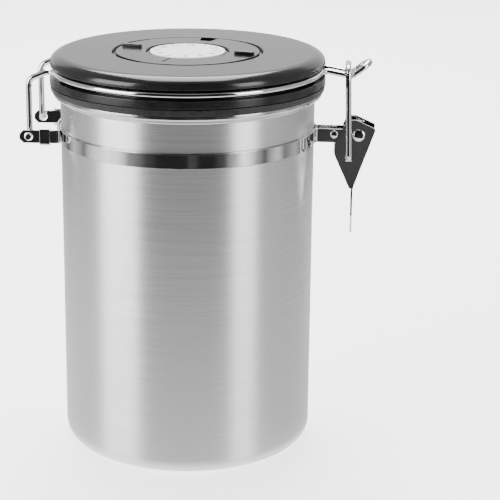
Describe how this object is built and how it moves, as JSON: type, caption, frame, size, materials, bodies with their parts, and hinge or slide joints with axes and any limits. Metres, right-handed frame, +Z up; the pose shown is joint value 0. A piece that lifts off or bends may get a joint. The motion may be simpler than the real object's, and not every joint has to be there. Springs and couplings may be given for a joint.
{
  "type": "coffee canister",
  "caption": "Round steel canister with a black lid on a wire bail hinge, an over-centre wire latch, a turning date ring and a one-way valve.",
  "frame": {"origin": "centre of the flat base, on the canister's axis", "axes": "+Z up along the canister's axis, +X towards the latch, hinge at -X"},
  "size_m": [0.1659, 0.1298, 0.1925],
  "materials": {
    "brushed_steel": "brushed round the body",
    "polished_steel": "polished",
    "gloss_black": "gloss",
    "black_silicone": "matte",
    "white_disc": "satin",
    "filter_felt": "felt"
  },
  "bodies": {
    "canister": {"canister_body": "brushed_steel", "strap_band": "polished_steel", "strap_rivet": "polished_steel", "lever_pivot_rivet": "polished_steel", "hinge_bracket": "polished_steel", "front_hinge_clip": "polished_steel", "rear_hinge_clip": "polished_steel"},
    "lid": {"bail_wire": "polished_steel", "lid_base": "gloss_black", "lid_cap": "gloss_black", "lid_gasket": "black_silicone", "dial_collar": "gloss_black", "dial_disc": "white_disc", "valve_body": "gloss_black", "valve_cover": "gloss_black", "valve_filter": "filter_felt", "valve_flap": "black_silicone"},
    "date_ring": {"date_ring": "gloss_black"},
    "latch_lever": {"latch_lever": "polished_steel"},
    "latch_loop": {"latch_loop": "polished_steel"}
  },
  "joints": [
    {"name": "lid_hinge", "type": "hinge", "parent": "canister", "child": "lid", "pos_m": [-0.0728, 0, 0.153], "axis": [0, -1, 0], "range_deg": [0, 200]},
    {"name": "date_ring_turn", "type": "hinge", "parent": "lid", "child": "date_ring", "pos_m": [0, 0, 0.1895], "axis": [0, 0, 1], "continuous": true},
    {"name": "latch_lever_pivot", "type": "hinge", "parent": "canister", "child": "latch_lever", "pos_m": [0.081, 0, 0.153], "axis": [0, -1, 0], "range_deg": [0, 120]},
    {"name": "latch_loop_swing", "type": "hinge", "parent": "latch_lever", "child": "latch_loop", "pos_m": [0.0766, 0, 0.1418], "axis": [0, -1, 0], "range_deg": [-91.2, 0]}
  ],
  "couplings": [
    {"joint": "latch_loop_swing", "follows": "latch_lever_pivot", "ratio": -0.76}
  ]
}
